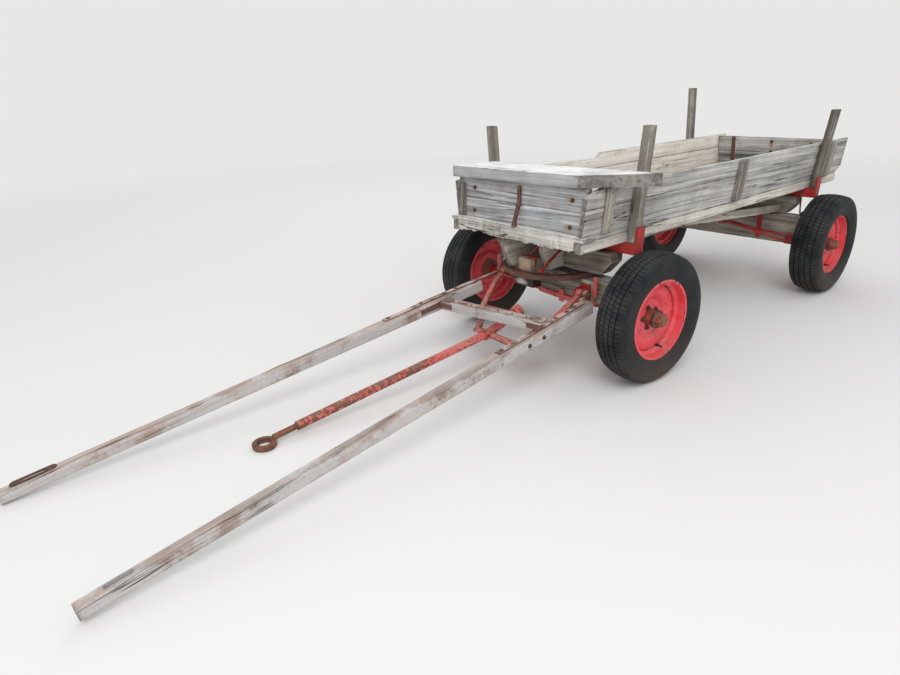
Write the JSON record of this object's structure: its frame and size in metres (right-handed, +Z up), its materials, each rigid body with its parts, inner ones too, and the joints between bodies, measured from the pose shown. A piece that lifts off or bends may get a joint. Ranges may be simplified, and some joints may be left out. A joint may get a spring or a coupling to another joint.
{
  "type": "hay wagon",
  "caption": "Wooden hay wagon with a planked box and corner stakes, a steered front axle on a turntable, car tyres, horse shafts and a steel drawbar.",
  "frame": {"origin": "on the ground below the middle of the whole wagon, shafts included", "axes": "+Z up, Y along the wagon with the shafts pointing to -Y, +X to the wagon's left side"},
  "size_m": [1.4348, 5.1998, 1.312],
  "materials": {
    "wood_grey": "weathered silver-grey softwood",
    "wood_pale": "paler dry softwood",
    "red_paint": "faded red paint, worn and rusty",
    "rusty_iron": "brown rust",
    "black_paint": "worn black paint on wood",
    "tyre": "dusty rubber"
  },
  "bodies": {
    "bed": {"floor_boards": "wood_grey", "side_rails": "wood_pale", "front_sill": "wood_grey", "rear_sill": "wood_grey", "side_boards_left": "wood_grey", "side_boards_right": "wood_grey", "front_board": "wood_grey", "tail_board": "wood_grey", "side_battens": "wood_pale", "plank_seat": "wood_grey", "stake_front_left": "wood_grey", "stake_front_right": "wood_grey", "stake_rear_left": "wood_grey", "stake_rear_right": "wood_grey", "bolster_irons": "red_paint", "front_bolster": "wood_pale", "rear_bolster": "wood_pale", "sway_boards": "wood_pale", "reach_pole": "wood_grey", "upper_turntable_ring": "rusty_iron", "rear_braces": "red_paint", "rear_axle_timber": "wood_pale", "king_pin": "rusty_iron", "rear_axle": "red_paint", "front_hook": "rusty_iron"},
    "forecarriage": {"front_axle": "red_paint", "front_axle_timber": "wood_pale", "lower_turntable_ring": "rusty_iron", "hinge_blocks": "wood_pale", "hinge_lugs": "red_paint", "hinge_pins": "rusty_iron", "tongue_stub": "black_paint"},
    "drawbar": {"drawbar_yoke": "red_paint", "drawbar_eye": "rusty_iron"},
    "shafts": {"shaft_left": "wood_grey", "shaft_right": "wood_grey", "shaft_crossbar": "wood_grey", "shaft_irons": "rusty_iron"},
    "wheel_front_left": {"tyre_front_left": "tyre", "rim_front_left": "red_paint", "hub_front_left": "red_paint"},
    "wheel_front_right": {"tyre_front_right": "tyre", "rim_front_right": "red_paint", "hub_front_right": "red_paint"},
    "wheel_rear_left": {"tyre_rear_left": "tyre", "rim_rear_left": "red_paint", "hub_rear_left": "red_paint"},
    "wheel_rear_right": {"tyre_rear_right": "tyre", "rim_rear_right": "red_paint", "hub_rear_right": "red_paint"}
  },
  "joints": [
    {"name": "steering", "type": "hinge", "parent": "bed", "child": "forecarriage", "pos_m": [0, 0.032, 0.4745], "axis": [0, 0, 1], "range_deg": [-41.2, 48.8]},
    {"name": "drawbar_lift", "type": "hinge", "parent": "forecarriage", "child": "drawbar", "pos_m": [-0.00689, -0.07177, 0.4], "axis": [-0.9978, 0.0663, 0], "range_deg": [0, 20]},
    {"name": "shaft_lift", "type": "hinge", "parent": "drawbar", "child": "shafts", "pos_m": [-0.00689, -0.07177, 0.4], "axis": [-0.9978, 0.0663, 0], "range_deg": [0, 20]},
    {"name": "spin_front_left", "type": "hinge", "parent": "forecarriage", "child": "wheel_front_left", "pos_m": [0.61118, 0.02949, 0.3225], "axis": [0.9978, -0.0663, 0], "continuous": true},
    {"name": "spin_front_right", "type": "hinge", "parent": "forecarriage", "child": "wheel_front_right", "pos_m": [-0.60614, 0.11034, 0.3225], "axis": [0.9978, -0.0663, 0], "continuous": true},
    {"name": "spin_rear_left", "type": "hinge", "parent": "bed", "child": "wheel_rear_left", "pos_m": [0.6215, 2.04, 0.3225], "axis": [1, 0, 0], "continuous": true},
    {"name": "spin_rear_right", "type": "hinge", "parent": "bed", "child": "wheel_rear_right", "pos_m": [-0.6215, 2.04, 0.3225], "axis": [1, 0, 0], "continuous": true}
  ]
}
